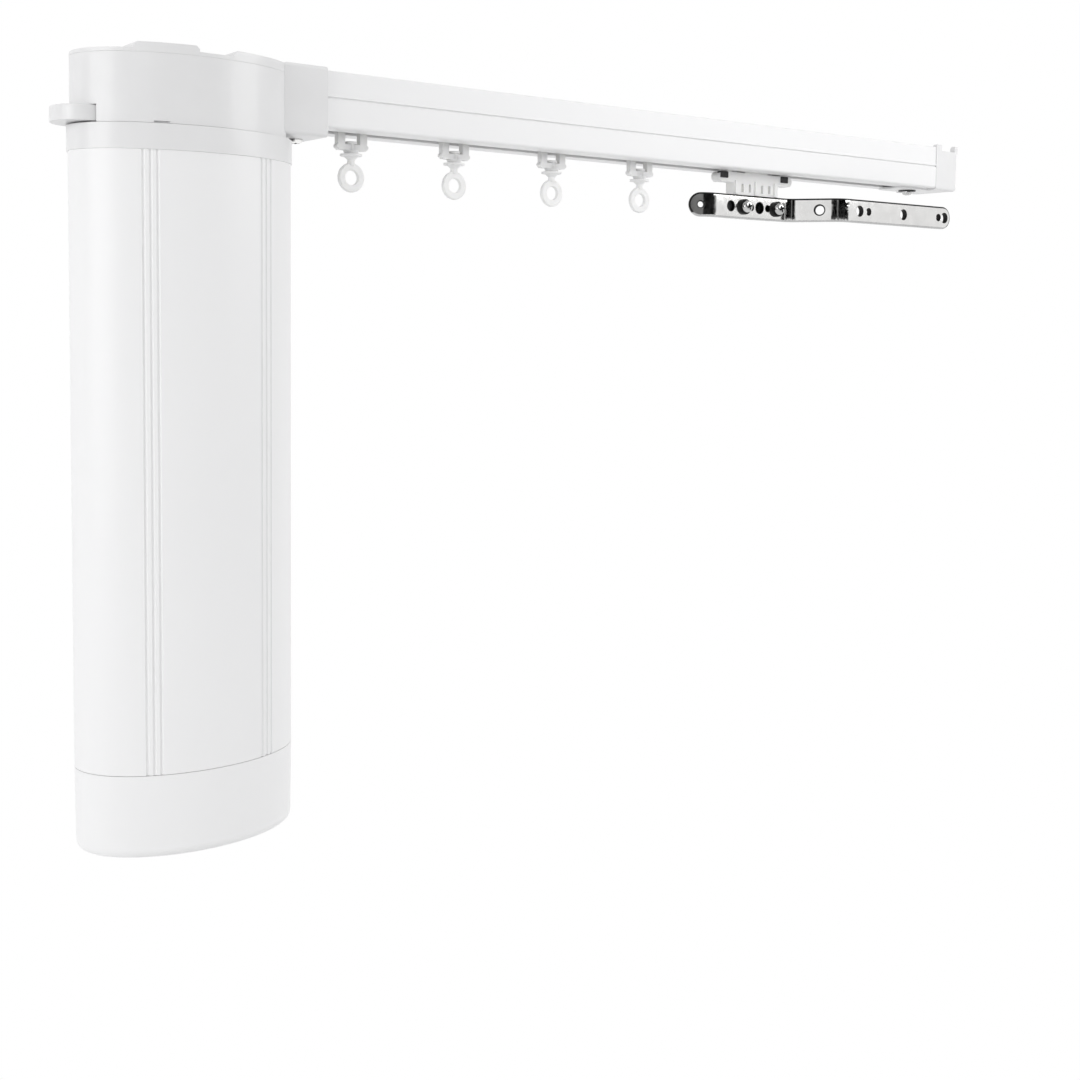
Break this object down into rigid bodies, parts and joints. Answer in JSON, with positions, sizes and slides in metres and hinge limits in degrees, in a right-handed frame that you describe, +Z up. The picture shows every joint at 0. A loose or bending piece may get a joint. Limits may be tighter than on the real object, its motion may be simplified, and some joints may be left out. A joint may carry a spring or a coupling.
{
  "type": "electric curtain track",
  "caption": "Electric curtain track: an oval battery motor hangs from a drive head and moves a belt-driven carrier and gliders along a slotted rail.",
  "frame": {"origin": "middle of the track's length and width, in the plane of the track's top, at the mouth of the bracket channel", "axes": "+X along the track, away from the motor; +Y from the room side to the window side; +Z up"},
  "size_m": [0.5071, 0.0582, 0.3053],
  "materials": {
    "white_track": "satin white paint on extruded aluminium",
    "white_plastic": "glossy white ABS",
    "body_white": "glossy white extruded body",
    "milky_plastic": "slightly translucent white acetal",
    "inner_plastic": "plain moulded plastic",
    "dark_plastic": "black moulded plastic",
    "black_rubber": "matt",
    "belt_rubber": "reinforced rubber",
    "plated_steel": "bright nickel plate",
    "steel": "plain steel",
    "dark_steel": "blackened steel",
    "gear_plastic": "natural acetal",
    "motor_steel": "zinc plated can",
    "copper_rotor": "copper windings on a steel core",
    "board_green": "circuit board",
    "cell_wrap": "plain shrink wrap",
    "contact_metal": "plated contact strip"
  },
  "bodies": {
    "rail_and_motor": {"track_profile": "white_track", "drive_belt": "belt_rubber", "end_cap": "white_plastic", "idler_pin": "steel", "end_clamp_screw": "dark_steel", "clamp_nuts": "steel", "head_housing": "white_plastic", "head_lid": "white_plastic", "head_screws": "steel", "track_adaptor": "white_plastic", "adaptor_screw": "plated_steel", "shaft_bearing": "steel", "tab_spring": "steel", "motor_collar": "white_plastic", "body_shell": "body_white", "gearbox_screws": "steel", "ring_gear": "inner_plastic", "motor_can": "motor_steel", "circuit_board": "board_green", "board_parts": "dark_plastic", "lower_bulkhead": "inner_plastic", "bulkhead_contacts": "contact_metal"},
    "drive_train": {"drive_pulley": "gear_plastic", "drive_shaft": "steel", "output_coupling": "steel", "planet_carrier": "steel"},
    "motor_rotor": {"motor_rotor": "copper_rotor"},
    "idler_pulley": {"idler_pulley": "gear_plastic"},
    "release_tab": {"release_tab": "white_plastic"},
    "battery_drawer": {"bottom_cap": "white_plastic", "battery_tray": "inner_plastic", "battery_cells": "cell_wrap", "battery_contacts": "contact_metal"},
    "carrier": {"carrier_body": "milky_plastic", "carrier_bumpers": "black_rubber", "belt_clamp": "inner_plastic", "curtain_arm": "plated_steel", "arm_screws": "plated_steel"},
    "carrier_front_rollers": {"carrier_front_rollers": "gear_plastic"},
    "carrier_rear_rollers": {"carrier_rear_rollers": "gear_plastic"},
    "planet_gear_1": {"planet_gear_1": "gear_plastic"},
    "planet_gear_2": {"planet_gear_2": "gear_plastic"},
    "planet_gear_3": {"planet_gear_3": "gear_plastic"},
    "glider_1": {"glider_1_body": "milky_plastic"},
    "eyelet_1": {"glider_1_eyelet": "milky_plastic"},
    "glider_1_front_rollers": {"glider_1_front_rollers": "gear_plastic"},
    "glider_1_rear_rollers": {"glider_1_rear_rollers": "gear_plastic"},
    "glider_2": {"glider_2_body": "milky_plastic"},
    "eyelet_2": {"glider_2_eyelet": "milky_plastic"},
    "glider_2_front_rollers": {"glider_2_front_rollers": "gear_plastic"},
    "glider_2_rear_rollers": {"glider_2_rear_rollers": "gear_plastic"},
    "glider_3": {"glider_3_body": "milky_plastic"},
    "eyelet_3": {"glider_3_eyelet": "milky_plastic"},
    "glider_3_front_rollers": {"glider_3_front_rollers": "gear_plastic"},
    "glider_3_rear_rollers": {"glider_3_rear_rollers": "gear_plastic"},
    "glider_4": {"glider_4_body": "milky_plastic"},
    "eyelet_4": {"glider_4_eyelet": "milky_plastic"},
    "glider_4_front_rollers": {"glider_4_front_rollers": "gear_plastic"},
    "glider_4_rear_rollers": {"glider_4_rear_rollers": "gear_plastic"}
  },
  "joints": [
    {"name": "carrier_slide", "type": "slide", "parent": "rail_and_motor", "child": "carrier", "axis": [1, 0, 0], "range_m": [-0.135, 0.078], "deforming": ["drive_belt"]},
    {"name": "drive_train_spin", "type": "hinge", "parent": "rail_and_motor", "child": "drive_train", "pos_m": [-0.2375, 0, -0.0398], "axis": [0, 0, 1], "continuous": true},
    {"name": "idler_spin", "type": "hinge", "parent": "rail_and_motor", "child": "idler_pulley", "pos_m": [0.205, 0, -0.0103], "axis": [0, 0, 1], "continuous": true},
    {"name": "rotor_spin", "type": "hinge", "parent": "rail_and_motor", "child": "motor_rotor", "pos_m": [-0.2375, 0, -0.0616], "axis": [0, 0, 1], "continuous": true},
    {"name": "planet_1_spin", "type": "hinge", "parent": "drive_train", "child": "planet_gear_1", "pos_m": [-0.2255, 0, -0.0477], "axis": [0, 0, 1], "continuous": true},
    {"name": "planet_2_spin", "type": "hinge", "parent": "drive_train", "child": "planet_gear_2", "pos_m": [-0.2435, 0.01039, -0.0477], "axis": [0, 0, 1], "continuous": true},
    {"name": "planet_3_spin", "type": "hinge", "parent": "drive_train", "child": "planet_gear_3", "pos_m": [-0.2435, -0.01039, -0.0477], "axis": [0, 0, 1], "continuous": true},
    {"name": "carrier_rear_rollers_spin", "type": "hinge", "parent": "carrier", "child": "carrier_rear_rollers", "pos_m": [0.0523, 0, -0.0177], "axis": [0, 1, 0], "continuous": true},
    {"name": "carrier_front_rollers_spin", "type": "hinge", "parent": "carrier", "child": "carrier_front_rollers", "pos_m": [0.0903, 0, -0.0177], "axis": [0, 1, 0], "continuous": true},
    {"name": "glider_1_slide", "type": "slide", "parent": "rail_and_motor", "child": "glider_1", "axis": [1, 0, 0], "range_m": [-0.01057, 0.00619]},
    {"name": "eyelet_1_swivel", "type": "hinge", "parent": "glider_1", "child": "eyelet_1", "pos_m": [-0.16321, 0, -0.0269], "axis": [0, 0, 1], "continuous": true},
    {"name": "glider_1_rear_rollers_spin", "type": "hinge", "parent": "glider_1", "child": "glider_1_rear_rollers", "pos_m": [-0.16844, 0, -0.0177], "axis": [0, 1, 0], "continuous": true},
    {"name": "glider_1_front_rollers_spin", "type": "hinge", "parent": "glider_1", "child": "glider_1_front_rollers", "pos_m": [-0.15798, 0, -0.0177], "axis": [0, 1, 0], "continuous": true},
    {"name": "glider_2_slide", "type": "slide", "parent": "rail_and_motor", "child": "glider_2", "axis": [1, 0, 0], "range_m": [-0.04429, 0.02567]},
    {"name": "eyelet_2_swivel", "type": "hinge", "parent": "glider_2", "child": "eyelet_2", "pos_m": [-0.11172, 0, -0.0269], "axis": [0, 0, 1], "continuous": true},
    {"name": "glider_2_rear_rollers_spin", "type": "hinge", "parent": "glider_2", "child": "glider_2_rear_rollers", "pos_m": [-0.11695, 0, -0.0177], "axis": [0, 1, 0], "continuous": true},
    {"name": "glider_2_front_rollers_spin", "type": "hinge", "parent": "glider_2", "child": "glider_2_front_rollers", "pos_m": [-0.10649, 0, -0.0177], "axis": [0, 1, 0], "continuous": true},
    {"name": "glider_3_slide", "type": "slide", "parent": "rail_and_motor", "child": "glider_3", "axis": [1, 0, 0], "range_m": [-0.08027, 0.04646]},
    {"name": "eyelet_3_swivel", "type": "hinge", "parent": "glider_3", "child": "eyelet_3", "pos_m": [-0.05799, 0, -0.0269], "axis": [0, 0, 1], "continuous": true},
    {"name": "glider_3_rear_rollers_spin", "type": "hinge", "parent": "glider_3", "child": "glider_3_rear_rollers", "pos_m": [-0.06321, 0, -0.0177], "axis": [0, 1, 0], "continuous": true},
    {"name": "glider_3_front_rollers_spin", "type": "hinge", "parent": "glider_3", "child": "glider_3_front_rollers", "pos_m": [-0.05276, 0, -0.0177], "axis": [0, 1, 0], "continuous": true},
    {"name": "glider_4_slide", "type": "slide", "parent": "rail_and_motor", "child": "glider_4", "axis": [1, 0, 0], "range_m": [-0.11576, 0.06697]},
    {"name": "eyelet_4_swivel", "type": "hinge", "parent": "glider_4", "child": "eyelet_4", "pos_m": [-0.00473, 0, -0.0269], "axis": [0, 0, 1], "continuous": true},
    {"name": "glider_4_rear_rollers_spin", "type": "hinge", "parent": "glider_4", "child": "glider_4_rear_rollers", "pos_m": [-0.00996, 0, -0.0177], "axis": [0, 1, 0], "continuous": true},
    {"name": "glider_4_front_rollers_spin", "type": "hinge", "parent": "glider_4", "child": "glider_4_front_rollers", "pos_m": [0.0005, 0, -0.0177], "axis": [0, 1, 0], "continuous": true},
    {"name": "release_tab_push", "type": "slide", "parent": "rail_and_motor", "child": "release_tab", "axis": [1, 0, 0], "range_m": [0, 0.003], "stiffness_N_per_m": 900, "springref_m": -0.002, "deforming": ["tab_spring"]},
    {"name": "battery_drawer_slide", "type": "slide", "parent": "rail_and_motor", "child": "battery_drawer", "axis": [0, 0, -1], "range_m": [0, 0.12]}
  ],
  "couplings": [
    {"joint": "drive_train_spin", "follows": "carrier_slide", "rad_per_m": 89.76},
    {"joint": "idler_spin", "follows": "carrier_slide", "rad_per_m": 89.76},
    {"joint": "rotor_spin", "follows": "carrier_slide", "rad_per_m": 448.8},
    {"joint": "planet_1_spin", "follows": "carrier_slide", "rad_per_m": -239.36},
    {"joint": "planet_2_spin", "follows": "carrier_slide", "rad_per_m": -239.36},
    {"joint": "planet_3_spin", "follows": "carrier_slide", "rad_per_m": -239.36},
    {"joint": "carrier_rear_rollers_spin", "follows": "carrier_slide", "rad_per_m": 294.12},
    {"joint": "carrier_front_rollers_spin", "follows": "carrier_slide", "rad_per_m": 294.12},
    {"joint": "glider_1_slide", "follows": "carrier_slide", "ratio": 0.0768},
    {"joint": "glider_1_rear_rollers_spin", "follows": "carrier_slide", "rad_per_m": 22.588},
    {"joint": "glider_1_front_rollers_spin", "follows": "carrier_slide", "rad_per_m": 22.588},
    {"joint": "glider_2_slide", "follows": "carrier_slide", "ratio": 0.3266},
    {"joint": "glider_2_rear_rollers_spin", "follows": "carrier_slide", "rad_per_m": 96.059},
    {"joint": "glider_2_front_rollers_spin", "follows": "carrier_slide", "rad_per_m": 96.059},
    {"joint": "glider_3_slide", "follows": "carrier_slide", "ratio": 0.5931},
    {"joint": "glider_3_rear_rollers_spin", "follows": "carrier_slide", "rad_per_m": 174.44},
    {"joint": "glider_3_front_rollers_spin", "follows": "carrier_slide", "rad_per_m": 174.44},
    {"joint": "glider_4_slide", "follows": "carrier_slide", "ratio": 0.856},
    {"joint": "glider_4_rear_rollers_spin", "follows": "carrier_slide", "rad_per_m": 251.76},
    {"joint": "glider_4_front_rollers_spin", "follows": "carrier_slide", "rad_per_m": 251.76}
  ]
}
